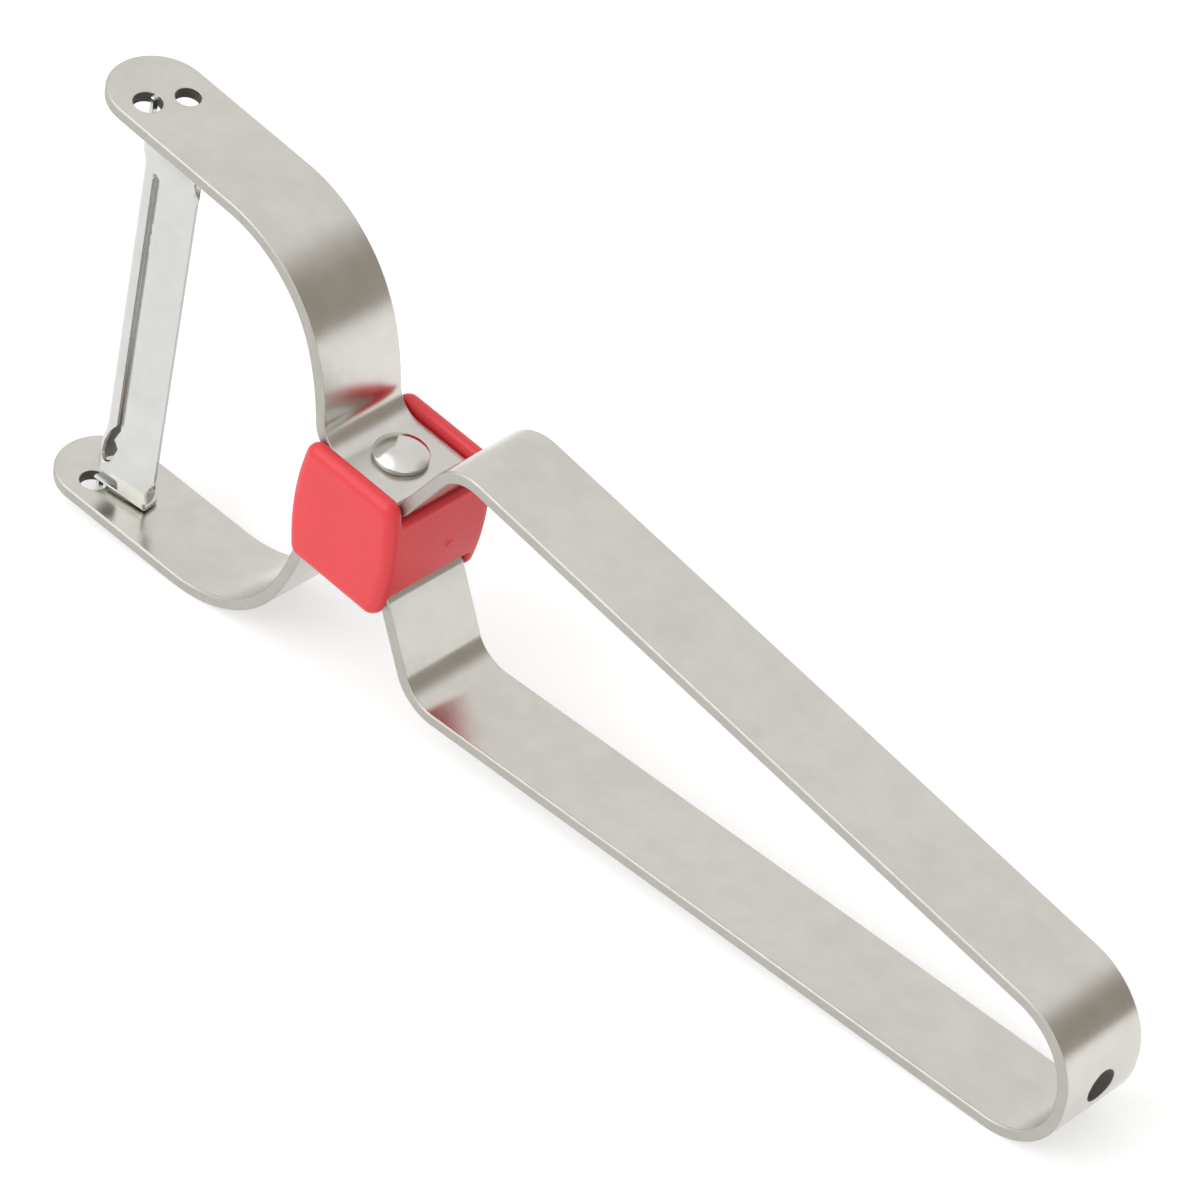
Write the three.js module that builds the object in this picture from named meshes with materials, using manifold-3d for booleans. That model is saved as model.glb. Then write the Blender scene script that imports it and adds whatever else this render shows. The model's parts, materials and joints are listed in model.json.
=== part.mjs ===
// Swivel peeler with a one-piece bent strip frame.
//
// Millimetres, +Z up. The frame is a single stainless strip folded into a closed
// handle loop and a fork (the yoke). A plastic block spaces the two runs of strip
// where the loop meets the fork, and one rivet goes through strip, block and strip.
// A sheet-metal blade with a pin at each end swivels in the tips of the fork.
//
// Design axes: X runs from the fork (-X) to the heel of the handle (+X), Y is the
// width of the strip, Z is the span of the fork. The origin of the design axes is
// on the rivet's axis, half way through the block, and the strip is a mirror image
// about the plane Z = 0. The finished group is turned about Y so that it stands on
// the lower shoulder of the fork and the heel of the handle, on the plane Z = 0.

import * as THREE from 'three';
import { mergeVertices } from 'three/addons/utils/BufferGeometryUtils.js';
import Module from 'manifold-3d';

const wasm = await Module();
wasm.setup();
const { Manifold, Mesh: SolidMesh } = wasm;

// ------------------------------------------------------------ dimensions
const STRIP_W = 12.0;            // width of the strip
const STRIP_T = 1.5;             // thickness of the strip
const FLAT_H = 6.4;              // height of the strip's middle surface over the block's centre

const YOKE_FLAT = 3.15;          // rivet axis to the start of the fork's root bend
const ROOT_R = 4.25;             // root bend, middle surface
const ROOT_TURN = 79.7;          // degrees
const THROAT_R = 33.1;           // slow curve of the throat
const THROAT_TURN = 15.0;
const SHOULDER_R = 17.7;         // shoulder of the fork
const ARM_SPLAY = 2.0;           // the arms open by this much towards their tips, degrees
const ARM_TIP_X = -49.6;         // end of the arms

const HANDLE_FLAT = 4.92;        // rivet axis to the start of the handle's first bend
const CRANK_R = 1.73;            // tight bend off the block
const CRANK_TURN = 60.6;
const CRANK_LEN = 8.7;
const CREST_R = 5.56;            // crest of the handle
const LIMB_SLOPE = 5.66;         // the limbs close towards the heel, degrees
const LIMB_LEN = 82.7;
const HEEL_R = 9.0;              // rounded heel
const HEEL_FLAT = 0.55;          // half of the short straight at the heel

const PIVOT_HOLE = { x: -42.8, y: -2.44, d: 3.4 };   // hole the blade's pin turns in
const SPARE_HOLE = { x: -41.0, y: 2.02, d: 3.0 };    // open hole beside it
const HANG_HOLE_D = 4.0;                             // hole through the heel

const BLOCK_HALF_Y = 8.2;        // half width over the cheeks
const CHEEK_IN_Y = 6.2;          // inner face of a cheek
const CHEEK_HALF_Z = 8.4;        // half height of a cheek
const WEB_GAP = 0.15;            // block to strip
const BLOCK_MID_X = -0.15;
const BLOCK_HALF_X = 7.85;       // half length at mid height
const BARREL_R = 34.0;           // the ends are barrelled
const BLOCK_ROUND = 1.4;         // rounding of the upright edges

const RIVET_HEAD_R = 3.25;
const RIVET_RIM = 0.7;
const RIVET_DOME = 1.0;
const RIVET_SHANK_R = 1.85;
const RIVET_HOLE_R = 2.05;
const RIVET_TAIL_R = 2.8;
const RIVET_TAIL_H = 0.9;
const RIVET_GAP = 0.12;          // head to strip

const PIN = { x: -42.35, y: -1.9 };  // swivel axis of the blade, in design axes
const BLADE_REST = 6.3;          // angle of the blade about its axis at rest, degrees
const SHEET = 0.5;               // sheet of the blade
const LEG_OUT = -1.9;            // outer face of the long leg, from the axis
const LEG_END = 9.1;             // free edge of the long leg
const EDGE_U = 2.9;              // cutting edge
const NOSE_C = { u: 1.8, w: 0.1 };
const NOSE_R = 2.0;              // outer radius of the fold
const GUARD_END = 5.6;           // free edge of the short leg
const NOSE_HALF_Z = 24.4;        // half length of the fold
const SLOT_HALF_Z = 23.1;        // half length of the slot
const EAR_Z = 27.6;              // outer face of the ears
const EAR_BEND = 1.2;
const PIN_TOP = 30.5;            // end of the pins
const ARC_STEP = 9;              // degrees to a facet

const STEEL = { color: 0xc9c4bc, roughness: 0.34, metalness: 1.0 };
const BLADE_STEEL = { color: 0xdcdcda, roughness: 0.24, metalness: 1.0 };
const RIVET_STEEL = { color: 0xc8c8c6, roughness: 0.2, metalness: 1.0 };
const RED_PLASTIC = { color: 0xe0262e, roughness: 0.5, metalness: 0.0 };

// ------------------------------------------------------------ helpers
const RAD = Math.PI / 180;

function toSolid(geometry) {
  const g = geometry.clone();
  g.deleteAttribute('normal');
  g.deleteAttribute('uv');
  const m = mergeVertices(g, 1e-4);
  return new Manifold(new SolidMesh({
    numProp: 3,
    vertProperties: new Float32Array(m.attributes.position.array),
    triVerts: new Uint32Array(m.index.array),
  }));
}

function toGeometry(solid) {
  const mesh = solid.getMesh();
  const g = new THREE.BufferGeometry();
  g.setAttribute('position', new THREE.BufferAttribute(new Float32Array(mesh.vertProperties), 3));
  g.setIndex(new THREE.BufferAttribute(new Uint32Array(mesh.triVerts), 1));
  g.computeVertexNormals();
  return g;
}

function box(x0, x1, y0, y1, z0, z1) {
  const g = new THREE.BoxGeometry(x1 - x0, y1 - y0, z1 - z0);
  g.translate((x0 + x1) / 2, (y0 + y1) / 2, (z0 + z1) / 2);
  return toSolid(g);
}

// cylinder along Z
function postZ(x, y, r, z0, z1, n = 24) {
  const g = new THREE.CylinderGeometry(r, r, z1 - z0, n);
  g.rotateX(Math.PI / 2);
  g.translate(x, y, (z0 + z1) / 2);
  return toSolid(g);
}

// outline in XZ, extruded along Y between y0 and y1
function slabXZ(points, y0, y1) {
  const g = new THREE.ExtrudeGeometry(new THREE.Shape(points.map((p) => new THREE.Vector2(p[0], p[1]))),
    { depth: y1 - y0, bevelEnabled: false, steps: 1 });
  g.rotateX(Math.PI / 2);
  g.translate(0, y1, 0);
  return toSolid(g);
}

// outline in XY, extruded along Z between z0 and z1
function slabXY(points, z0, z1) {
  const g = new THREE.ExtrudeGeometry(new THREE.Shape(points.map((p) => new THREE.Vector2(p[0], p[1]))),
    { depth: z1 - z0, bevelEnabled: false, steps: 1 });
  g.translate(0, 0, z0);
  return toSolid(g);
}

// outline in YZ, extruded along X between x0 and x1
function slabYZ(points, x0, x1) {
  const g = new THREE.ExtrudeGeometry(new THREE.Shape(points.map((p) => new THREE.Vector2(p[0], p[1]))),
    { depth: x1 - x0, bevelEnabled: false, steps: 1 });
  g.applyMatrix4(new THREE.Matrix4().set(0, 0, 1, x0, 1, 0, 0, 0, 0, 1, 0, 0, 0, 0, 0, 1));
  return toSolid(g);
}

// A path is a list of [x, z, heading]; it starts at a point and grows by lines and bends.
class Path {
  constructor(x, z, headingDeg) {
    this.h = headingDeg * RAD;
    this.p = [[x, z, this.h]];
  }
  get last() { return this.p[this.p.length - 1]; }
  line(len) {
    const [x, z] = this.last;
    this.p.push([x + len * Math.cos(this.h), z + len * Math.sin(this.h), this.h]);
    return this;
  }
  // positive turn is anticlockwise
  bend(radius, turnDeg) {
    const n = Math.max(2, Math.ceil(Math.abs(turnDeg) / ARC_STEP));
    const side = Math.sign(turnDeg);
    const [x, z] = this.last;
    const cx = x - side * radius * Math.sin(this.h);
    const cz = z + side * radius * Math.cos(this.h);
    const h0 = this.h;
    for (let i = 1; i <= n; i++) {
      const h = h0 + (turnDeg * RAD * i) / n;
      this.p.push([cx + side * radius * Math.sin(h), cz - side * radius * Math.cos(h), h]);
    }
    this.h = h0 + turnDeg * RAD;
    return this;
  }
}

// ------------------------------------------------------------ frame strip
const fork = new Path(0, FLAT_H, 180)
  .line(YOKE_FLAT)
  .bend(ROOT_R, -ROOT_TURN)
  .bend(THROAT_R, THROAT_TURN)
  .bend(SHOULDER_R, ROOT_TURN - THROAT_TURN - ARM_SPLAY);
fork.line((fork.last[0] - ARM_TIP_X) / Math.cos(ARM_SPLAY * RAD));

const loop = new Path(0, FLAT_H, 0)
  .line(HANDLE_FLAT)
  .bend(CRANK_R, CRANK_TURN)
  .line(CRANK_LEN)
  .bend(CREST_R, -(CRANK_TURN + LIMB_SLOPE))
  .line(LIMB_LEN)
  .bend(HEEL_R, -(90 - LIMB_SLOPE));

// upper half of the middle line, from the tip of the fork to the heel
const upper = [
  ...fork.p.slice(1).reverse().map(([x, z, h]) => [x, z, h - Math.PI]),
  ...loop.p.slice(1),
];
// The whole middle line: the upper half, then its mirror image run backwards.
const middle = [
  ...upper,
  ...upper.slice().reverse().map(([x, z, h]) => [x, -z, -h - Math.PI]),
];
const side = (d) => middle.map(([x, z, h]) => [x - d * Math.sin(h), z + d * Math.cos(h)]);
const outerLine = side(STRIP_T / 2);    // left of the way along: outside of the loop and fork
const innerLine = side(-STRIP_T / 2);
const stripOutline = [...outerLine, ...innerLine.reverse()];

let strip = slabXZ(stripOutline, -STRIP_W / 2, STRIP_W / 2);

// round ends of the arms, in plan
const R = STRIP_W / 2;
const tipC = ARM_TIP_X + R;
const plan = [[130, -R - 1], [130, R + 1], [tipC, R + 1]];
for (let i = 0; i <= 20; i++) {
  const a = (90 + (180 * i) / 20) * RAD;
  plan.push([tipC + R * Math.cos(a), R * Math.sin(a)]);
}
plan.push([tipC, -R - 1]);
strip = strip.intersect(slabXY(plan, -60, 60));

// pivot holes, spare holes, rivet holes
strip = strip.subtract(postZ(PIVOT_HOLE.x, PIVOT_HOLE.y, PIVOT_HOLE.d / 2, -60, 60, 28));
strip = strip.subtract(postZ(SPARE_HOLE.x, SPARE_HOLE.y, SPARE_HOLE.d / 2, -60, 60, 28));
strip = strip.subtract(postZ(0, 0, RIVET_HOLE_R, -9, 9, 28));
// hanging hole through the heel
{
  const g = new THREE.CylinderGeometry(HANG_HOLE_D / 2, HANG_HOLE_D / 2, 12, 28);
  g.rotateZ(Math.PI / 2);
  g.translate(106, 0, 0);
  strip = strip.subtract(toSolid(g));
}

// ------------------------------------------------------------ spacer block
const barrel = [];
const barrelX = (z) => BLOCK_HALF_X - (BARREL_R - Math.sqrt(BARREL_R * BARREL_R - z * z));
const corner = 0.9;
for (let i = -6; i <= 6; i++) {
  const z = ((CHEEK_HALF_Z - corner) * i) / 6;
  barrel.push([BLOCK_MID_X + barrelX(z), z]);
}
barrel.push([BLOCK_MID_X + barrelX(CHEEK_HALF_Z) - corner, CHEEK_HALF_Z]);
const outline = [...barrel];
outline.unshift([BLOCK_MID_X + barrelX(CHEEK_HALF_Z) - corner, -CHEEK_HALF_Z]);
const leftSide = outline.map(([x, z]) => [2 * BLOCK_MID_X - x, z]).reverse();
let block = slabXZ([...outline, ...leftSide], -BLOCK_HALF_Y, BLOCK_HALF_Y);
// upright edges rounded in plan
const bx = BLOCK_HALF_X, by = BLOCK_HALF_Y, br = BLOCK_ROUND;
const round = [];
for (const [sx, sy, a0] of [[1, 1, 0], [-1, 1, 90], [-1, -1, 180], [1, -1, 270]]) {
  for (let i = 0; i <= 4; i++) {
    const a = (a0 + (90 * i) / 4) * RAD;
    round.push([BLOCK_MID_X + sx * (bx - br) + br * Math.cos(a), sy * (by - br) + br * Math.sin(a)]);
  }
}
block = block.intersect(slabXY(round, -12, 12));
// the strip lies in a channel across the top and the bottom
const channelZ = FLAT_H - STRIP_T / 2 - WEB_GAP;
block = block.subtract(box(-12, 12, -CHEEK_IN_Y, CHEEK_IN_Y, channelZ, 12));
block = block.subtract(box(-12, 12, -CHEEK_IN_Y, CHEEK_IN_Y, -12, -channelZ));
block = block.subtract(postZ(0, 0, RIVET_HOLE_R, -12, 12, 28));

// ------------------------------------------------------------ rivet
const headZ = FLAT_H + STRIP_T / 2 + RIVET_GAP;
const rivetProfile = [];
rivetProfile.push([0, headZ + RIVET_RIM + RIVET_DOME]);
const domeR = (RIVET_HEAD_R * RIVET_HEAD_R + RIVET_DOME * RIVET_DOME) / (2 * RIVET_DOME);
for (let i = 1; i <= 6; i++) {
  const r = (RIVET_HEAD_R * i) / 6;
  rivetProfile.push([r, headZ + RIVET_RIM + RIVET_DOME - domeR + Math.sqrt(domeR * domeR - r * r)]);
}
rivetProfile.push([RIVET_HEAD_R - 0.1, headZ]);
rivetProfile.push([RIVET_SHANK_R, headZ]);
rivetProfile.push([RIVET_SHANK_R, -headZ]);
rivetProfile.push([RIVET_TAIL_R - 0.25, -headZ]);
rivetProfile.push([RIVET_TAIL_R, -headZ - 0.3]);
rivetProfile.push([RIVET_TAIL_R - 0.35, -headZ - 0.72]);
rivetProfile.push([RIVET_TAIL_R - 0.95, -headZ - RIVET_TAIL_H]);
rivetProfile.push([1.35, -headZ - 0.6]);
rivetProfile.push([1.15, -headZ + 2.2]);
rivetProfile.push([0, -headZ + 2.5]);
const rivetGeometry = new THREE.LatheGeometry(rivetProfile.reverse().map(([r, z]) => new THREE.Vector2(r, z)), 28);
rivetGeometry.rotateX(Math.PI / 2);
const rivet = toSolid(rivetGeometry);

// ------------------------------------------------------------ blade
// Own axes: u (X) along the legs, w (Y) across them, z along the swivel axis.
const legIn = LEG_OUT + SHEET;
const guardOut = NOSE_C.w + NOSE_R;
const guardIn = guardOut - SHEET;

// long leg with both ears: one C-shaped section, run along u
const cOuter = [], cInner = [];
for (let i = 0; i <= 4; i++) {
  const a = (90 * i * RAD) / 4;
  cOuter.push([LEG_OUT + EAR_BEND - EAR_BEND * Math.sin(a), -EAR_Z + EAR_BEND - EAR_BEND * Math.cos(a)]);
  const ri = EAR_BEND - SHEET;
  cInner.push([LEG_OUT + EAR_BEND - ri * Math.sin(a), -EAR_Z + EAR_BEND - ri * Math.cos(a)]);
}
const earFar = 2.2;
const cHalfOuter = [[earFar, -EAR_Z], ...cOuter];
const cHalfInner = [[earFar, -EAR_Z + SHEET], ...cInner];
const mirrorZ = (pts) => pts.map(([w, z]) => [w, -z]).reverse();
const cSection = [...cHalfOuter, ...mirrorZ(cHalfOuter), ...mirrorZ(cHalfInner).reverse(), ...cHalfInner.slice().reverse()];
let blade = slabYZ(cSection, -0.3, LEG_END);
// nothing of the long leg left of the fold's tangent, and a narrower foot under the fold
blade = blade.subtract(box(-2, NOSE_C.u, -3, 0, -NOSE_HALF_Z, NOSE_HALF_Z));
for (const s of [1, -1]) {
  const z0 = s > 0 ? NOSE_HALF_Z - 0.01 : -40;
  const z1 = s > 0 ? 40 : -NOSE_HALF_Z + 0.01;
  blade = blade.subtract(box(-2, 3.4, -3, -1.25, z0, z1));
  blade = blade.subtract(box(-2, 3.4, 0.45, 4, z0, z1));
}
// rounded free corners of the leg and of the ears
const roundOff = (u, v, su, sv, r) => {
  const pts = [[u, v], [u - su * r, v]];
  for (let i = 1; i < 6; i++) {
    const a = (90 * i * RAD) / 6;
    pts.push([u - su * r + su * r * Math.sin(a), v - sv * r + sv * r * Math.cos(a)]);
  }
  pts.push([u, v - sv * r]);
  const out = pts.map(([x, y]) => [x, y]);
  out[0] = [u + su * 0.5, v + sv * 0.5];
  out.splice(1, 0, [u - su * r, v + sv * 0.5]);
  out.push([u + su * 0.5, v - sv * r]);
  const area = out.reduce((s, p, i) => { const q = out[(i + 1) % out.length]; return s + p[0] * q[1] - q[0] * p[1]; }, 0);
  return area < 0 ? out.reverse() : out;
};
for (const s of [1, -1]) {
  blade = blade.subtract(slabXZ(roundOff(LEG_END, s * EAR_Z, 1, s, 2.2), -3, 4));
  const z0 = s > 0 ? 20 : -40, z1 = s > 0 ? 40 : -20;
  blade = blade.subtract(slabXY(roundOff(LEG_END, earFar, 1, 1, 2.0), z0, z1));
}
// ground face behind the cutting edge
blade = blade.subtract(slabXY([[NOSE_C.u, LEG_OUT - 0.4], [EDGE_U + 0.9, LEG_OUT - 0.02], [EDGE_U + 0.02, LEG_OUT + 0.38], [NOSE_C.u, LEG_OUT + 0.38]],
  -SLOT_HALF_Z + 3, SLOT_HALF_Z - 3));
// fold and short leg
const foldPts = [];
for (let i = 0; i <= 12; i++) {
  const a = (180 * i * RAD) / 12;
  foldPts.push([NOSE_C.u - NOSE_R * Math.sin(a), NOSE_C.w - NOSE_R * Math.cos(a)]);
}
foldPts.push([GUARD_END, guardOut], [GUARD_END, guardIn]);
for (let i = 12; i >= 0; i--) {
  const a = (180 * i * RAD) / 12;
  const ri = NOSE_R - SHEET;
  foldPts.push([NOSE_C.u - ri * Math.sin(a), NOSE_C.w - ri * Math.cos(a)]);
}
foldPts.push([NOSE_C.u + 0.3, NOSE_C.w - NOSE_R + SHEET], [NOSE_C.u + 0.3, NOSE_C.w - NOSE_R]);
blade = blade.add(slabXY(foldPts.reverse(), -NOSE_HALF_Z, NOSE_HALF_Z));
// slot between the cutting edge and the guard lip, pointed at its ends
const slotPts = [[-1, -SLOT_HALF_Z], [1.6, -SLOT_HALF_Z], [EDGE_U, -SLOT_HALF_Z + 3.6], [EDGE_U, SLOT_HALF_Z - 3.6], [1.6, SLOT_HALF_Z], [-1, SLOT_HALF_Z]];
blade = blade.subtract(slabXZ(slotPts, -3, NOSE_C.w - NOSE_R * Math.cos(45 * RAD)));
// pins
for (const s of [1, -1]) {
  const z0 = s > 0 ? EAR_Z - SHEET : -PIN_TOP, z1 = s > 0 ? PIN_TOP : -EAR_Z + SHEET;
  blade = blade.add(box(-0.3, 0.3, -0.45, 0.45, z0, z1));
}

// ------------------------------------------------------------ assembly
const material = (name, m) => {
  const mat = new THREE.MeshStandardMaterial({ color: m.color, roughness: m.roughness, metalness: m.metalness });
  mat.name = name;
  return mat;
};
function meshOf(name, solid, mat) {
  const mesh = new THREE.Mesh(toGeometry(solid), mat);
  mesh.name = name;
  return mesh;
}

// The line the peeler stands on touches the lower shoulder and the heel.
let tilt = 0;
{
  const pts = stripOutline;
  const heel = pts.filter((p) => p[0] > 60), shoulder = pts.filter((p) => p[0] < 0);
  let a = shoulder[0], b = heel[0];
  for (let i = 0; i < 12; i++) {
    tilt = Math.atan2(b[1] - a[1], b[0] - a[0]);
    const height = (p) => -p[0] * Math.sin(tilt) + p[1] * Math.cos(tilt);
    a = shoulder.reduce((m, p) => (height(p) < height(m) ? p : m));
    b = heel.reduce((m, p) => (height(p) < height(m) ? p : m));
  }
  tilt = Math.atan2(b[1] - a[1], b[0] - a[0]);
}
const stand = (p) => [p[0] * Math.cos(tilt) + p[1] * Math.sin(tilt), -p[0] * Math.sin(tilt) + p[1] * Math.cos(tilt)];
const stood = stripOutline.map(stand);
const minX = Math.min(...stood.map((p) => p[0])), maxX = Math.max(...stood.map((p) => p[0]));
const minZ = Math.min(...stood.map((p) => p[1]));

const body = new THREE.Group();
body.rotation.set(0, tilt, 0);
body.position.set(-(minX + maxX) / 2, 0, -minZ);

body.add(meshOf('frame_strip', strip, material('strip steel', STEEL)));
body.add(meshOf('spacer_block', block, material('red plastic', RED_PLASTIC)));
body.add(meshOf('rivet', rivet, material('rivet steel', RIVET_STEEL)));

const swivel = new THREE.Group();
swivel.position.set(PIN.x, PIN.y, 0);
swivel.rotation.set(0, 0, BLADE_REST * RAD);
swivel.add(meshOf('blade', blade, material('blade steel', BLADE_STEEL)));
body.add(swivel);

const peeler = new THREE.Group();
peeler.name = 'peeler';
peeler.add(body);

export default peeler;
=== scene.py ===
import json
import math

import bpy
import numpy as np
from mathutils import Matrix, Vector
from mathutils.geometry import delaunay_2d_cdt


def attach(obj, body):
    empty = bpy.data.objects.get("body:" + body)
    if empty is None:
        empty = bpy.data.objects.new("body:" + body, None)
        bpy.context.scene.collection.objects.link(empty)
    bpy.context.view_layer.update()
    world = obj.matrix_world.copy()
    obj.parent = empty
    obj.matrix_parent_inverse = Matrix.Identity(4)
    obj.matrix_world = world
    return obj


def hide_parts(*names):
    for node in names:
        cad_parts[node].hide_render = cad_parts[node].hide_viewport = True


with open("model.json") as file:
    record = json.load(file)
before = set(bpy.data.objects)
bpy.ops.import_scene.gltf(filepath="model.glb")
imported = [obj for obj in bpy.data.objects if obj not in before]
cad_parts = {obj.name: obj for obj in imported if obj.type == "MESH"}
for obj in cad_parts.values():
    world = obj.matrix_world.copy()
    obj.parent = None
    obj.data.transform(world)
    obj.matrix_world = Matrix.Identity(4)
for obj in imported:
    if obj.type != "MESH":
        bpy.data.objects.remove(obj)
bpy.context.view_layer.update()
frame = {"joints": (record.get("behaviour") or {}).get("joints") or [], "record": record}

MM = 0.001
scene = bpy.context.scene

# ---------------------------------------------------------------- design axes
# x: fork (-) to heel (+), y: width of the strip, z: span of the fork, in mm,
# origin on the rivet's axis in the middle of the block.
joint = frame["joints"][0]
_ax = joint["axis"]
TILT = math.atan2(_ax[0], _ax[2])
CT, ST = math.cos(TILT), math.sin(TILT)
_side = [m for m in frame["record"]["mounts"] if m["name"] == "block_side"][0]["pos_m"]
ORG = np.array([_side[0], 0.0, _side[2]])


def turn(v):
    v = np.asarray(v, float)
    return np.stack([v[..., 0] * CT + v[..., 2] * ST, v[..., 1], -v[..., 0] * ST + v[..., 2] * CT], -1)


def place(p):
    return turn(np.asarray(p, float) * MM) + ORG


# pivot of the blade in design axes
_pv = np.array(joint["pos_m"]) - ORG
PIN = np.array([_pv[0] * CT - _pv[2] * ST, _pv[1], _pv[0] * ST + _pv[2] * CT]) / MM
REST = math.radians(6.3)

STRIP_W, STRIP_T, FLAT_H = 12.0, 1.5, 6.4

# ---------------------------------------------------------------- camera
K = 12.0 / 14.0
_rv = np.array([2.12324974, 0.961987453, -0.204055281])
_t = np.array([-26.9359, -12.50117, 776.6618])
_a = np.linalg.norm(_rv)
_k = _rv / _a
_K = np.array([[0, -_k[2], _k[1]], [_k[2], 0, -_k[0]], [-_k[1], _k[0], 0]])
CAM_R = np.eye(3) + math.sin(_a) * _K + (1 - math.cos(_a)) * (_K @ _K)
CAM_P = -CAM_R.T @ _t * K
cam_data = bpy.data.cameras.new("camera")
cam = bpy.data.objects.new("camera", cam_data)
scene.collection.objects.link(cam)
_r, _u, _b = turn(CAM_R[0]), turn(-CAM_R[1]), turn(-CAM_R[2])
_p = place(CAM_P)
cam.matrix_world = Matrix((
    (_r[0], _u[0], _b[0], _p[0]),
    (_r[1], _u[1], _b[1], _p[1]),
    (_r[2], _u[2], _b[2], _p[2]),
    (0, 0, 0, 1),
))
cam_data.sensor_width = 36.0
cam_data.lens = 5977.07 * 36.0 / 1200.0
cam_data.clip_end = 50.0
scene.camera = cam
scene.view_settings.view_transform = "Standard"


# ---------------------------------------------------------------- mesh helpers
def make_mesh(name, verts, faces, normals=None, uvs=None, smooth=True):
    me = bpy.data.meshes.new(name)
    me.from_pydata([tuple(v) for v in verts], [], [tuple(int(i) for i in f) for f in faces])
    me.validate()
    me.update()
    if smooth:
        me.polygons.foreach_set("use_smooth", [True] * len(me.polygons))
    if uvs is not None:
        layer = me.uv_layers.new(name="grain")
        loop_vert = np.zeros(len(me.loops), np.int32)
        me.loops.foreach_get("vertex_index", loop_vert)
        layer.data.foreach_set("uv", np.asarray(uvs, np.float32)[loop_vert].ravel())
    if normals is not None:
        me.normals_split_custom_set_from_vertices([tuple(n) for n in normals])
    ob = bpy.data.objects.new(name, me)
    scene.collection.objects.link(ob)
    return ob


def inside(poly, pts):
    x, y = pts[:, 0], pts[:, 1]
    r = np.zeros(len(pts), bool)
    j = len(poly) - 1
    for i in range(len(poly)):
        xi, yi = poly[i]
        xj, yj = poly[j]
        hit = ((yi > y) != (yj > y)) & (x < (xj - xi) * (y - yi) / ((yj - yi) if yj != yi else 1e-12) + xi)
        r ^= hit
        j = i
    return r


def loop_normals(loop):
    """Normals to the right of the way round: outwards on an anticlockwise loop."""
    nx = np.roll(loop, -1, 0) - loop
    pv = loop - np.roll(loop, 1, 0)
    nx /= np.linalg.norm(nx, axis=1)[:, None]
    pv /= np.linalg.norm(pv, axis=1)[:, None]
    t = nx + pv
    t /= np.linalg.norm(t, axis=1)[:, None]
    scale = 1.0 / np.maximum(0.6, (t * nx).sum(1))
    return np.stack([t[:, 1], -t[:, 0]], 1), scale


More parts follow.
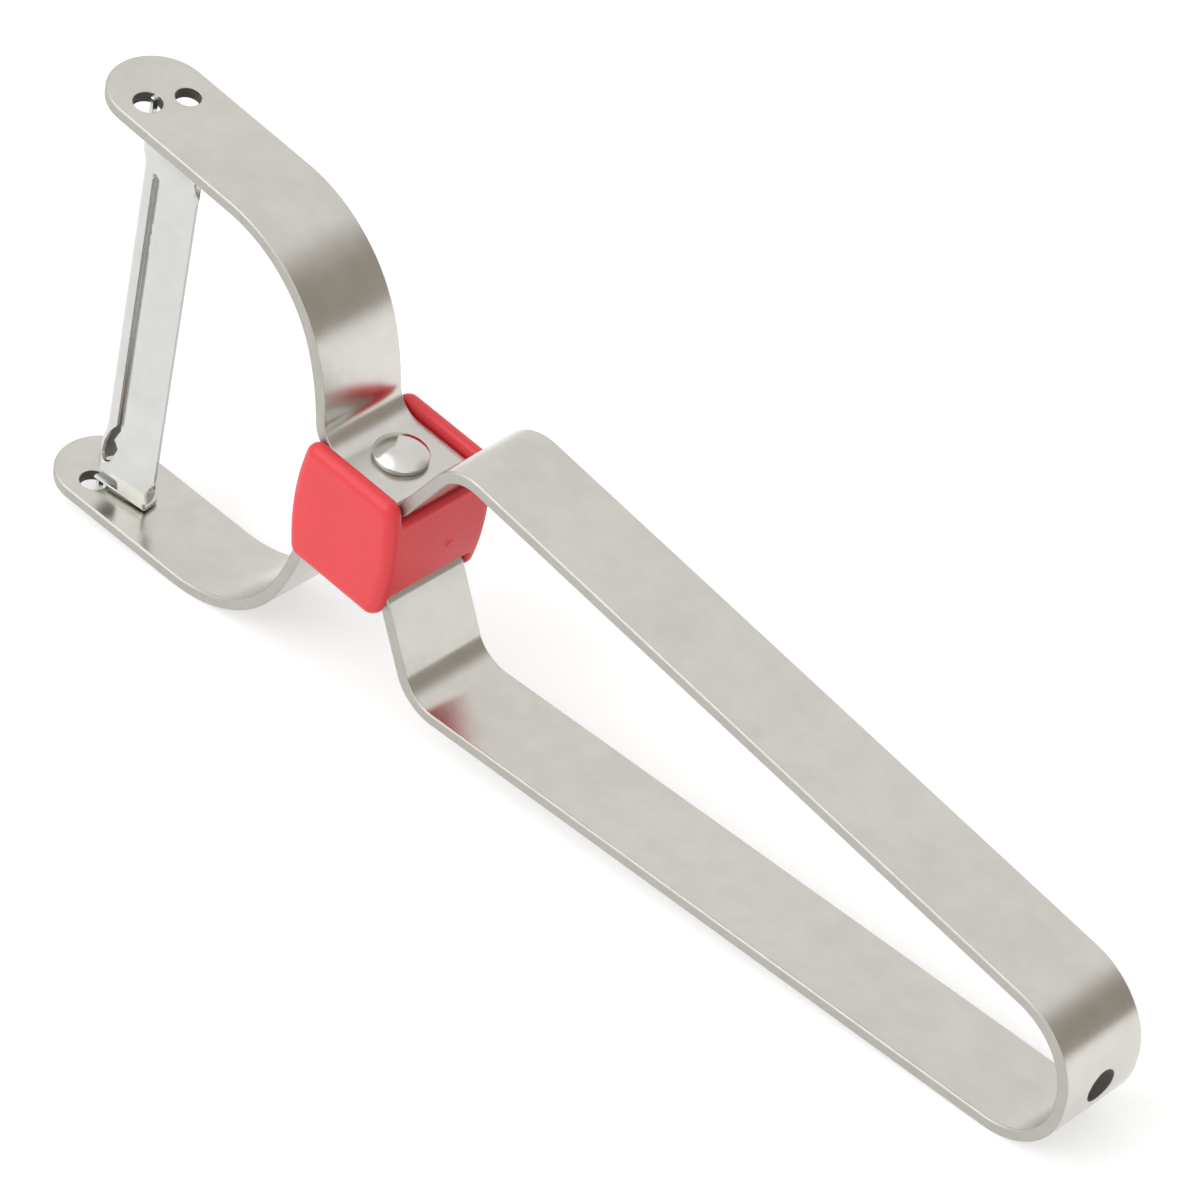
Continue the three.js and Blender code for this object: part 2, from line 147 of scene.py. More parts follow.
def plate(outer, holes, interior, half, fillet, layers, bend):
    """A flat plate with rounded rims, cut to the outer loop (anticlockwise) and the
    holes (clockwise), then carried to its bent place by bend(points, normals)."""
    loops = [np.asarray(outer, float)] + [np.asarray(h, float) for h in holes]
    fil = [fillet[0]] + [fillet[1]] * len(holes)
    ring = []      # per loop: vertex numbers per layer
    P, N = [], []

    def add(p, n):
        P.extend(p)
        N.extend(n)
        return np.arange(len(P) - len(p), len(P))

    top_idx, top_pts = [], []
    rows = []
    for loop, f in zip(loops, fil):
        n, sc = loop_normals(loop)
        rows_l = []
        for side in (1, -1):
            for k in range(layers + 1):
                a = math.radians(90.0 * k / layers) if side == 1 else math.radians(90.0 * (layers - k) / layers)
                inset = f * (1 - math.sin(a))
                h = half - f * (1 - math.cos(a))
                pos = loop - n * (inset * sc)[:, None]
                p3 = np.concatenate([pos, np.full((len(loop), 1), side * h)], 1)
                n3 = np.concatenate([n * math.sin(a), np.full((len(loop), 1), side * math.cos(a))], 1)
                rows_l.append(add(p3, n3))
        rows.append(rows_l)
    edge_pts, edges = [], []
    for loop_rows in rows:
        first = loop_rows[0]
        s = len(edge_pts)
        edge_pts.extend([P[i][:2] for i in first])
        m = len(first)
        edges.extend([(s + i, s + (i + 1) % m) for i in range(m)])
    inner = np.asarray(interior, float).reshape(-1, 2)
    if len(inner):
        keep = inside(np.array(edge_pts[: len(rows[0][0])]), inner)
        for loop in loops[1:]:
            keep &= ~inside(loop, inner)
        # clear of the rims
        ep = np.array(edge_pts)
        for i in range(len(inner)):
            if keep[i] and np.min(((ep - inner[i]) ** 2).sum(1)) < 0.09 ** 2:
                keep[i] = False
        inner = inner[keep]
    allp = np.concatenate([np.array(edge_pts), inner]) if len(inner) else np.array(edge_pts)
    cv, ce, cf, ov, oe, of_ = delaunay_2d_cdt([Vector(p) for p in allp], edges, [], 0, 1e-7)
    cv = np.array([[v[0], v[1]] for v in cv])
    tri = np.array([f for f in cf if len(f) == 3])
    cen = cv[tri].mean(1)
    lo = inside(np.array(edge_pts[: len(rows[0][0])]), cen)
    start = len(rows[0][0])
    for loop_rows in rows[1:]:
        m = len(loop_rows[0])
        lo &= ~inside(np.array(edge_pts[start: start + m]), cen)
        start += m
    tri = tri[lo]
    a, b, c = cv[tri[:, 0]], cv[tri[:, 1]], cv[tri[:, 2]]
    area = (b[:, 0] - a[:, 0]) * (c[:, 1] - a[:, 1]) - (b[:, 1] - a[:, 1]) * (c[:, 0] - a[:, 0])
    tri[area < 0] = tri[area < 0][:, ::-1]
    tri = tri[np.abs(area) > 1e-9]
    # which plate vertex each triangulation vertex is
    origin = [o[0] if o else -1 for o in ov]
    top_of = {}
    bot_of = {}
    flat_first = np.concatenate([r[0] for r in rows])
    flat_last = np.concatenate([r[-1] for r in rows])
    for i, o in enumerate(origin):
        if 0 <= o < len(flat_first):
            top_of[i], bot_of[i] = flat_first[o], flat_last[o]
        else:
            p = cv[i]
            top_of[i] = add([np.array([p[0], p[1], half])], [np.array([0, 0, 1.0])])[0]
            bot_of[i] = add([np.array([p[0], p[1], -half])], [np.array([0, 0, -1.0])])[0]
    F = []
    for t in tri:
        F.append((top_of[t[0]], top_of[t[1]], top_of[t[2]]))
        F.append((bot_of[t[2]], bot_of[t[1]], bot_of[t[0]]))
    for loop_rows in rows:
        m = len(loop_rows[0])
        for r0, r1 in zip(loop_rows[:-1], loop_rows[1:]):
            for i in range(m):
                j = (i + 1) % m
                F.append((r0[i], r1[i], r1[j], r0[j]))
    P, N = np.array(P), np.array(N)
    Q, M = bend(P, N)
    return Q, F, M, P, N


def join_parts(parts):
    V, F, N, U = [], [], [], []
    off = 0
    for v, f, n, u in parts:
        V.append(v)
        N.append(n)
        U.append(u)
        F.extend([tuple(int(i) + off for i in face) for face in f])
        off += len(v)
    return np.concatenate(V), F, np.concatenate(N), np.concatenate(U)


def circle(cx, cy, r, n, ccw=True):
    a = np.linspace(0, 2 * math.pi, n, endpoint=False)
    if not ccw:
        a = -a
    return np.stack([cx + r * np.cos(a), cy + r * np.sin(a)], 1)


# ---------------------------------------------------------------- strip
class Walk:
    def __init__(self, x, z, deg):
        self.h = math.radians(deg)
        self.p = [(x, z, self.h)]

    def line(self, length, n=1):
        x, z, _ = self.p[-1]
        for i in range(1, n + 1):
            self.p.append((x + length * i / n * math.cos(self.h), z + length * i / n * math.sin(self.h), self.h))
        return self

    def bend(self, radius, deg):
        n = max(4, int(abs(deg) * 2))
        s = 1 if deg > 0 else -1
        x, z, _ = self.p[-1]
        cx, cz = x - s * radius * math.sin(self.h), z + s * radius * math.cos(self.h)
        h0 = self.h
        for i in range(1, n + 1):
            h = h0 + math.radians(deg) * i / n
            self.p.append((cx + s * radius * math.sin(h), cz - s * radius * math.cos(h), h))
        self.h = h0 + math.radians(deg)
        return self


ARM_TIP_X = -49.6
SPLAY = 2.0
fork = Walk(0, FLAT_H, 180).line(3.15).bend(4.25, -79.7).bend(33.1, 15.0).bend(17.7, 79.7 - 15.0 - SPLAY)
fork.line((fork.p[-1][0] - ARM_TIP_X) / math.cos(math.radians(SPLAY)))
loop = Walk(0, FLAT_H, 0).line(4.92).bend(1.73, 60.6).line(8.7).bend(5.56, -66.26).line(82.7).bend(9.0, -84.34)
upper = [(x, z, h - math.pi) for x, z, h in fork.p[1:][::-1]] + loop.p[1:]
mid = np.array(upper + [(x, -z, -h - math.pi) for x, z, h in upper[::-1]])
seg = np.hypot(np.diff(mid[:, 0]), np.diff(mid[:, 1]))
S = np.concatenate([[0], np.cumsum(seg)])
L = S[-1]
measure = np.concatenate([[0], np.cumsum(np.maximum(np.abs(np.diff(mid[:, 2])) / math.radians(4.0), seg / 2.5))])
n_st = int(measure[-1])
stations = np.interp(np.linspace(0, measure[-1], n_st + 1), measure, S)


def at(s):
    return np.interp(s, S, mid[:, 0]), np.interp(s, S, mid[:, 1]), np.interp(s, S, mid[:, 2])


def bend_strip(P, N):
    x, z, h = at(P[:, 0])
    sh, ch = np.sin(h), np.cos(h)
    q = np.stack([x - P[:, 2] * sh, P[:, 1], z + P[:, 2] * ch], 1)
    n = np.stack([N[:, 0] * ch - N[:, 2] * sh, N[:, 1], N[:, 0] * sh + N[:, 2] * ch], 1)
    return q, n


R = STRIP_W / 2
body = stations[(stations > R + 0.15) & (stations < L - R - 0.15)]
near = np.stack([body, np.full(len(body), -R)], 1)
far = np.stack([body[::-1], np.full(len(body), R)], 1)
a = np.radians(np.linspace(-90, 90, 41))
end_hi = np.stack([L - R + R * np.cos(a), R * np.sin(a)], 1)
end_lo = np.stack([R - R * np.cos(a), -R * np.sin(a)], 1)
outer = np.concatenate([near, end_hi, far, end_lo])

s_pivot = (-42.8 - ARM_TIP_X) / math.cos(math.radians(SPLAY))
s_spare = (-41.0 - ARM_TIP_X) / math.cos(math.radians(SPLAY))
s_rivet = float(np.interp(0.0, mid[: len(fork.p) + 3, 0], S[: len(fork.p) + 3]))
holes = []
for s0, sgn in ((0, 1), (L, -1)):
    holes.append(circle(s0 + sgn * s_pivot, -2.44, 1.7, 40, False))
    holes.append(circle(s0 + sgn * s_spare, 2.02, 1.5, 36, False))
    holes.append(circle(s0 + sgn * s_rivet, 0.0, 1.98, 36, False))
holes.append(circle(L / 2, 0.0, 2.0, 44, False))
ys = [-4.6, -3.1, -1.55, 0.0, 1.55, 3.1, 4.6]
interior = [(s, y) for s in stations for y in ys if 1.0 < s < L - 1.0]
interior = [p for p in interior if all((p[0] - h[:, 0].mean()) ** 2 + (p[1] - h[:, 1].mean()) ** 2 > (abs(h[:, 0] - h[:, 0].mean()).max() + 0.45) ** 2 for h in holes)]
for h in holes:   # a ring of points round each hole
    c = h.mean(0)
    rr = abs(h[:, 0] - c[0]).max()
    interior += [tuple(p) for p in circle(c[0], c[1], rr + 0.42, 28)]
vs, fs, ns, flat, face_n = plate(outer, holes, interior, STRIP_T / 2, (0.30, 0.14), 4, bend_strip)
strip = make_mesh("frame_strip_fine", place(vs), fs, turn(ns), flat[:, :2] * MM)


def mark_painted_shade(ob, values):
    """Painted shade: how far a point on a sheared or punched wall, a rim or a hollow is darkened (and made rougher) in
    its material; 0 on the faces.
    """
    layer = ob.data.attributes.new("cut", "FLOAT", "POINT")
    layer.data.foreach_set("value", np.asarray(values, np.float32))


# painted shade on the strip: the hole walls are darkened most, the rounded rims partly, to dim their highlight
in_hole = np.zeros(len(flat))
for h in holes:
    c = h.mean(0)
    rr = abs(h[:, 0] - c[0]).max()
    in_hole = np.maximum(in_hole, (np.hypot(flat[:, 0] - c[0], flat[:, 1] - c[1]) < rr + 0.05).astype(float))
side_on = 1 - np.abs(face_n[:, 2])
mark_painted_shade(strip, np.where(in_hole > 0, np.clip(side_on * 1.6, 0, 1), 0.40 * np.clip(side_on * 5, 0, 1)))

# ---------------------------------------------------------------- spacer block
HY, CY, HZ, CZ, BR, HX = 8.19, 6.17, 8.4, 5.6, 34.0, 7.85


def meet(planes, r):
    """Distance to the common inside of several shapes, its edges rounded to r."""
    u = np.stack([np.maximum(p + r, 0) for p in planes])
    return np.minimum(-r, np.maximum.reduce(planes)) + np.sqrt((u * u).sum(0))


def block_field(x, y, z):
    ax = np.hypot(np.abs(x + 0.15) + (BR - HX), z) - BR
    # small flow mark on the end that faces the handle, and slight sinks in the sides
    dy, dz = y - 1.5, z + 0.9
    u, v = dy * 0.8 + dz * 0.6, -dy * 0.6 + dz * 0.8
    mark = 0.17 * np.exp(-(u / 0.62) ** 2 - (v / 0.30) ** 2) - 0.10 * np.exp(-(u / 0.60) ** 2 - ((v - 0.45) / 0.26) ** 2)
    ax = ax + np.where(x > 0, mark, 0)
    sink = 0.05 * np.exp(-(x / 4.6) ** 2 - (z / 4.9) ** 2)
    ay = np.abs(y) - HY + sink
    az = np.abs(z) - HZ
    out = meet([ax, ay, az], 1.4)
    chan = meet([np.abs(y) - CY, CZ - np.abs(z)], 0.18)
    return meet([out, -chan], 0.6)


def surface_net(field, lo, hi, step):
    """Quad mesh of field = 0 on a regular grid, each vertex carried onto the surface."""
    n = [int(round((h - l) / step)) + 1 for l, h in zip(lo, hi)]
    g = [np.linspace(l, h, k) for l, h, k in zip(lo, hi, n)]
    X, Y, Z = np.meshgrid(*g, indexing="ij")
    val = field(X, Y, Z)
    neg = val < 0
    cell = neg[:-1, :-1, :-1]
    mixed = np.zeros(cell.shape, bool)
    first = neg[:-1, :-1, :-1]
    for i in (0, 1):
        for j in (0, 1):
            for k in (0, 1):
                mixed |= neg[i:n[0] - 1 + i, j:n[1] - 1 + j, k:n[2] - 1 + k] != first
    ids = -np.ones(cell.shape, int)
    where = np.argwhere(mixed)
    ids[mixed] = np.arange(len(where))
    pts = np.stack([g[a_][where[:, a_]] + (g[a_][1] - g[a_][0]) / 2 for a_ in range(3)], 1)
    e = 1e-4

    def grad(p):
        return np.stack([field(*(p + e * np.eye(3)[a_]).T) - field(*(p - e * np.eye(3)[a_]).T) for a_ in range(3)], 1) / (2 * e)

    for _ in range(8):
        d = field(*pts.T)
        gr = grad(pts)
        pts = pts - (d / np.maximum(0.3, (gr * gr).sum(1)))[:, None] * gr
    nrm = grad(pts)
    nrm /= np.linalg.norm(nrm, axis=1)[:, None]
    faces = []
    for a_ in range(3):
        b_, c_ = (a_ + 1) % 3, (a_ + 2) % 3
        lo_s = [slice(1, -1)] * 3
        lo_s[a_] = slice(0, -1)
        hi_s = list(lo_s)
        hi_s[a_] = slice(1, None)
        s0, s1 = neg[tuple(lo_s)], neg[tuple(hi_s)]
        cross = np.argwhere(s0 != s1)
        flip = s1[s0 != s1]
        base = cross.copy()
        base[:, b_] += 1
        base[:, c_] += 1
        q = []
        for db, dc in ((-1, -1), (0, -1), (0, 0), (-1, 0)):
            k = base.copy()
            k[:, b_] += db
            k[:, c_] += dc
            q.append(ids[k[:, 0], k[:, 1], k[:, 2]])
        q = np.stack(q, 1)
        q[flip] = q[flip][:, ::-1]
        faces.append(q)
    return pts, np.concatenate(faces), nrm


kv, kf, kn = surface_net(block_field, (-8.5, -8.7, -8.9), (8.2, 8.7, 8.9), 0.2)
block = make_mesh("spacer_block_fine", place(kv), kf.tolist(), turn(kn))


# ---------------------------------------------------------------- rivet
def revolve(profile, n=96):
    """Closed solid of revolution about z; the profile runs from the axis to the axis."""
    V, F = [], []
    rows = []
    for r, z in profile:
        if r < 1e-6:
            rows.append([len(V)])
            V.append((0, 0, z))
        else:
            rows.append(list(range(len(V), len(V) + n)))
            for i in range(n):
                a_ = 2 * math.pi * i / n
                V.append((r * math.cos(a_), r * math.sin(a_), z))
    for a_, b_ in zip(rows[:-1], rows[1:]):
        for i in range(n):
            j = (i + 1) % n
            if len(a_) == 1:
                F.append((a_[0], b_[i], b_[j]))
            elif len(b_) == 1:
                F.append((a_[j], a_[i], b_[0]))
            else:
                F.append((a_[j], a_[i], b_[i], b_[j]))
    return V, F


top = FLAT_H + STRIP_T / 2
prof = []
HR, RIM, DOME = 3.25, 0.70, 1.0
dr = (HR * HR + DOME * DOME) / (2 * DOME)
for i in range(0, 25):
    r = (HR - 0.10) * i / 24
    prof.append((r, top + RIM + DOME - dr + math.sqrt(dr * dr - r * r)))
prof += [(HR - 0.03, top + RIM + 0.02), (HR, top + RIM - 0.06), (HR - 0.01, top + RIM - 0.16), (HR - 0.05, top + 0.10), (HR - 0.09, top + 0.05), (HR - 0.16, top + 0.015), (HR - 0.3, top + 0.012)]
prof += [(1.9, top + 0.012), (1.85, top - 0.05), (1.85, -top + 0.05), (1.9, -top - 0.012)]
TR = 2.8
prof += [(TR - 0.35, -top - 0.012), (TR - 0.15, -top - 0.04), (TR, -top - 0.22), (TR, -top - 0.34), (TR - 0.12, -top - 0.56), (TR - 0.35, -top - 0.76), (TR - 0.65, -top - 0.88),
         (TR - 0.95, -top - 0.9), (TR - 1.2, -top - 0.82), (1.38, -top - 0.6), (1.27, -top - 0.3), (1.2, -top + 0.4), (1.15, -top + 2.1), (1.0, -top + 2.32), (0.6, -top + 2.45), (0, -top + 2.5)]
rv, rf = revolve(prof)
rivet = make_mesh("rivet_fine", place(np.array(rv)), [f for f in rf])

# ---------------------------------------------------------------- blade
SH = 0.5
NC_U, NC_W, NR = 1.8, 0.1, 2.0 - SH / 2
LEG_M = NC_W - NR                  # middle surface of the long leg
EAR_Z = 27.6
ARC_F = NR * math.pi
LEG_END = 9.1
CREASE, LEAN, R1, R2 = 23.5, math.radians(15.0), 1.3, 0.75
TURN_P, TURN_A, TURN_L = 7.7, math.radians(76.0), 0.6
A1 = R1 * LEAN
S2 = (EAR_Z - SH / 2 - CREASE - R1 * math.sin(LEAN) - R2 * (1 - math.sin(LEAN))) / math.cos(LEAN)
A2 = R2 * (math.pi / 2 - LEAN)
B1, B2, B3 = CREASE + A1, CREASE + A1 + S2, CREASE + A1 + S2 + A2


def smooth(x, a, b):
    t = np.clip((x - a) / (b - a), 0, 1)
    return t * t * (3 - 2 * t)


def foot(s):
    """Middle line of the foot: how far along the axis, how far inwards, and its lean."""
    a = np.clip(s - CREASE, 0, A1) / R1
    f = a + np.clip(s - B2, 0, A2) / R2
    z = np.minimum(s, CREASE) + R1 * np.sin(a) + np.clip(s - B1, 0, S2) * math.cos(LEAN)
    w = R1 * (1 - np.cos(a)) + np.clip(s - B1, 0, S2) * math.sin(LEAN)
    z = z + R2 * (np.sin(np.maximum(f, LEAN)) - math.sin(LEAN)) * (s > B2)
    w = w + R2 * (math.cos(LEAN) - np.cos(np.maximum(f, LEAN))) * (s > B2) + np.maximum(0, s - B3)
    return z, w, f


def shape_blade(P):
    """Flat (p, z, height) to (u, w, z): fold and corners by p, the feet by z. Height > 0 is outside."""
    p, z, h = P[:, 0], P[:, 1], P[:, 2]
    az = np.abs(z)
    sg = np.where(z >= 0, 1.0, -1.0)
    ground = smooth(-z, 19.5, 16.0) * smooth(z, 22.5, 21.0) * np.clip((3.95 - p) / 0.95, 0, 1) * (p > 2.75)
    h = (h + SH / 2) * (1 - 0.8 * ground) - SH / 2
    ear = az > np.where(z > 0, 26.5, 25.6)                                      # past the neck: no fold, only the foot's bend
    alpha = np.where(ear, 0, np.clip((NC_U - p) / NR, 0, math.pi))
    flat_on = ear | (p >= NC_U)
    u = np.where(flat_on, p, NC_U - NR * np.sin(alpha) + np.maximum(0, (NC_U - ARC_F) - p))
    w = np.where(flat_on, LEG_M, NC_W - NR * np.cos(alpha))
    nu, nw = -np.sin(alpha), -np.cos(alpha)
    # lower corner of the leg, turned back
    th = TURN_A * smooth(az, 20.8, 22.8) + 1e-6
    tp = 9.05 - (9.05 - TURN_P) * smooth(az, 20.6, 23.6)
    t = np.maximum(0, p - tp)
    ti = np.minimum(t, TURN_L)
    b = p > tp
    u = np.where(b, tp + TURN_L / th * np.sin(th * ti / TURN_L) + (t - ti) * np.cos(th), u)
    w = np.where(b, LEG_M + TURN_L / th * (1 - np.cos(th * ti / TURN_L)) + (t - ti) * np.sin(th), w)
    nu = np.where(b, np.sin(th * ti / TURN_L), nu)
    nw = np.where(b, -np.cos(th * ti / TURN_L), nw)
    # the guard is pressed in along the cutting edge and swells to its full round near the foot
    swell = np.where(z < 0, smooth(az, 16.5, 22.2), smooth(az, 22.3, 24.2))
    u = u + 0.78 * (1 - swell) * np.sin(alpha) ** 0.8 + h * nu
    w = w + h * nw
    zc, wc, f = foot(az)
    k = np.where(ear, 1, smooth(p, 1.9, 3.4))
    zc, wc, f = az + k * (zc - az), k * wc, k * f
    m = w - LEG_M
    return np.stack([u, LEG_M + wc + m * np.cos(f), sg * (zc - m * np.sin(f))], 1)


def bend_blade(P, N):
    e = 2e-3
    d = [(shape_blade(P + e * np.eye(3)[i]) - shape_blade(P - e * np.eye(3)[i])) / (2 * e) for i in range(3)]
    n = N[:, :1] * np.cross(d[1], d[2]) + N[:, 1:2] * np.cross(d[2], d[0]) + N[:, 2:] * np.cross(d[0], d[1])
    n /= np.maximum(1e-9, np.linalg.norm(n, axis=1))[:, None]
    return shape_blade(P), n


def rounded(points, radius, n=5):
    """Rounds the corners of a closed polygon, each to its own radius."""
    pts = [np.array(p, float) for p in points]
    m = len(pts)
    out = []
    for i in range(m):
        a_, b_, c_ = pts[i - 1], pts[i], pts[(i + 1) % m]
        r = radius[i]
        if r <= 0:
            out.append(b_)
            continue
        d0, d1 = a_ - b_, c_ - b_
        l0, l1 = np.linalg.norm(d0), np.linalg.norm(d1)
        d0, d1 = d0 / l0, d1 / l1
        ang = math.acos(max(-1, min(1, float(d0 @ d1))))
        cut = min(r / math.tan(ang / 2), 0.49 * l0, 0.49 * l1)
        p0, p1 = b_ + d0 * cut, b_ + d1 * cut
        for k in range(n + 1):
            t = k / n
            out.append((1 - t) ** 2 * p0 + 2 * t * (1 - t) * b_ + t * t * p1)
    out = np.array(out)
    return out[np.linalg.norm(out - np.roll(out, 1, 0), axis=1) > 0.02]


def densify(loop, step):
    out = []
    m = len(loop)
    for i in range(m):
        a_, b_ = loop[i], loop[(i + 1) % m]
        d = np.linalg.norm(b_ - a_)
        k = max(1, int(math.ceil(d / step(a_, b_))))
        for q in range(k):
            out.append(a_ + (b_ - a_) * q / k)
    return np.array(out)


def wound(loop, ccw):
    x, y = loop[:, 0], loop[:, 1]
    area = 0.5 * np.sum(x * np.roll(y, -1) - np.roll(x, -1) * y)
    return loop if (area > 0) == ccw else loop[::-1]


FAR_P = NC_U - ARC_F - (5.6 - NC_U)
half_out = [
    (LEG_END, 0.0), (LEG_END, 23.9), (8.75, 24.9), (7.5, 25.9), (7.3, 30.2), (3.6, 30.2), (3.5, 28.5), (-0.35, 28.5),
    (-0.35, 27.0), (3.5, 26.7), (3.6, 24.7), (2.3, 24.3), (NC_U - ARC_F, 24.4), (FAR_P, 24.4), (FAR_P, 0.0),
]
half_rad = [0, 0.8, 0.6, 0.6, 0.9, 0.5, 0.25, 0.25, 0.25, 0.4, 0.7, 0.8, 1.0, 1.2, 0]
# at the upper end the fold runs on until it is behind the arm
LONG = {26.7: 26.8, 24.7: 26.2, 24.3: 25.6, 24.4: 25.7}
half_up = [(x, LONG.get(z, z) if x < 3.7 else z) for x, z in half_out]
poly = half_up + [(x, -z) for x, z in half_out[1:-1][::-1]]
prad = half_rad + half_rad[1:-1][::-1]


def bstep(a_, b_):
    z = (abs(a_[1]) + abs(b_[1])) / 2
    p = (a_[0] + b_[0]) / 2
    if z > CREASE - 0.3:
        return 0.2
    if NC_U - ARC_F - 0.2 < p < NC_U + 0.2 and abs(a_[1] - b_[1]) < 1.0:
        return 0.28
    return 0.7 if z > 14 else 1.6


bl_outer = densify(wound(rounded(poly, prad), True), bstep)
spoly = [(3.0, 21.0), (3.0, -16.6), (3.12, -17.0), (2.55, -18.6), (3.25, -19.7), (2.35, -22.3), (1.5, -22.8), (0.8, -21.9),
         (0.9, -20.0), (1.5, -18.3), (2.2, -17.1), (2.66, -16.4), (2.66, 21.0), (2.83, 21.5)]
srad = [0.08, 0.3, 0.15, 0.2, 0.22, 0.5, 0.4, 0.5, 0.7, 0.6, 0.4, 0.2, 0.08, 0.05]
bl_slot = densify(wound(rounded(spoly, srad, 4), False), lambda a_, b_: 0.35 if a_[1] < -14 else 1.6)
zs_ = {round(v, 3) for v in np.arange(-15.2, 15.3, 1.6)}
for s_ in (1, -1):
    for v in (*np.arange(16.0, CREASE - 0.1, 0.6), CREASE, (CREASE + B1) / 2, B1, *np.arange(B1 + 0.6, B2 - 0.2, 0.6), *np.linspace(B2, B3, 8), 28.3, 28.9, 29.5):
        zs_.add(round(s_ * float(v), 3))
ps_ = {round(float(v), 3) for v in (*np.arange(NC_U - ARC_F, NC_U + 0.01, 0.3), *np.arange(2.2, 4.3, 0.35), *np.arange(4.9, 7.4, 0.8),
                                    *np.arange(TURN_P, TURN_P + TURN_L + 0.05, 0.12), 8.7, *np.arange(FAR_P + 0.6, NC_U - ARC_F - 0.2, 0.8))}
grid = [(p, z) for p in sorted(ps_) for z in sorted(zs_)]
bv_, bf_, bn_, bflat, bface_n = plate(bl_outer, [bl_slot], grid, SH / 2, (0.10, 0.09), 2, bend_blade)


def rounded_box(x0, x1, y0, y1, z0, z1, r, k=3):
    """Rounded box as a closed mesh, from a subdivided cube pushed to a rounded shape."""
    n = 2 * k + 2
    V, F, Nn = [], [], []
    c = np.array([(x0 + x1) / 2, (y0 + y1) / 2, (z0 + z1) / 2])
    hsz = np.array([(x1 - x0) / 2, (y1 - y0) / 2, (z1 - z0) / 2])
    idx = {}

    def vid(key):
        if key not in idx:
            t = np.array(key, float)
            q = np.empty(3)
            core = hsz - r
            base = np.empty(3)
            off = np.empty(3)
            for a_ in range(3):
                i = t[a_]
                if i <= k:
                    base[a_] = -core[a_]
                    off[a_] = -math.cos(math.radians(90 * i / k)) if k else 0
                else:
                    base[a_] = core[a_]
                    off[a_] = math.sin(math.radians(90 * (i - k - 1) / k))
            nrm = off / max(1e-9, np.linalg.norm(off))
            idx[key] = len(V)
            V.append(c + base + nrm * r)
            Nn.append(nrm)
        return idx[key]

    m = 2 * k + 1
    for a_ in range(3):
        b_, c_ = (a_ + 1) % 3, (a_ + 2) % 3
        for side in (0, m):
            for i in range(m):
                for j in range(m):
                    quad = []
                    for (di, dj) in ((0, 0), (1, 0), (1, 1), (0, 1)):
                        key = [0, 0, 0]
                        key[a_] = side
                        key[b_] = i + di
                        key[c_] = j + dj
                        quad.append(vid(tuple(key)))
                    if side == 0:
                        quad = quad[::-1]
                    F.append(tuple(quad))
    return np.array(V), F, np.array(Nn), np.zeros((len(V), 2))


def blade_place(v):
    c, s = math.cos(REST), math.sin(REST)
    v = np.asarray(v, float)
    return place(np.stack([PIN[0] + v[:, 0] * c - v[:, 1] * s, PIN[1] + v[:, 0] * s + v[:, 1] * c, v[:, 2]], 1))


def blade_turn(v):
    c, s = math.cos(REST), math.sin(REST)
    v = np.asarray(v, float)
    return turn(np.stack([v[:, 0] * c - v[:, 1] * s, v[:, 0] * s + v[:, 1] * c, v[:, 2]], 1))


parts = [(bv_, [f for f in bf_], bn_, bflat[:, :2])]
for s in (1, -1):
    zlo, zhi = (EAR_Z - SH + 0.02, 30.45) if s > 0 else (-30.45, -EAR_Z + SH - 0.02)
    parts.append(rounded_box(-0.28, 0.28, -0.45, 0.45, zlo, zhi, 0.12))
V, F, N, U = join_parts(parts)
blade = make_mesh("blade_fine", blade_place(V), F, blade_turn(N), U * MM)
# painted shade on the blade: the inside of the fold at its lower end is darkened, its sheet edges a little
inner_face = (bflat[:, 1] < -17.2) & (bflat[:, 2] < -0.2) & (bflat[:, 0] < 2.9) & (bflat[:, 0] > NC_U - ARC_F)
mark_painted_shade(blade, np.concatenate([np.where(inner_face, 0.55, 0.2 * (np.abs(bflat[:, 2]) < SH / 2 - 0.08)), np.zeros(len(V) - len(bflat))]))
rz = np.array(rv)
# painted shade on the side wall of the rivet's head
mark_painted_shade(rivet, 0.45 * ((np.hypot(rz[:, 0], rz[:, 1]) > HR - 0.12) & (rz[:, 2] < top + RIM - 0.1) & (rz[:, 2] > top)))


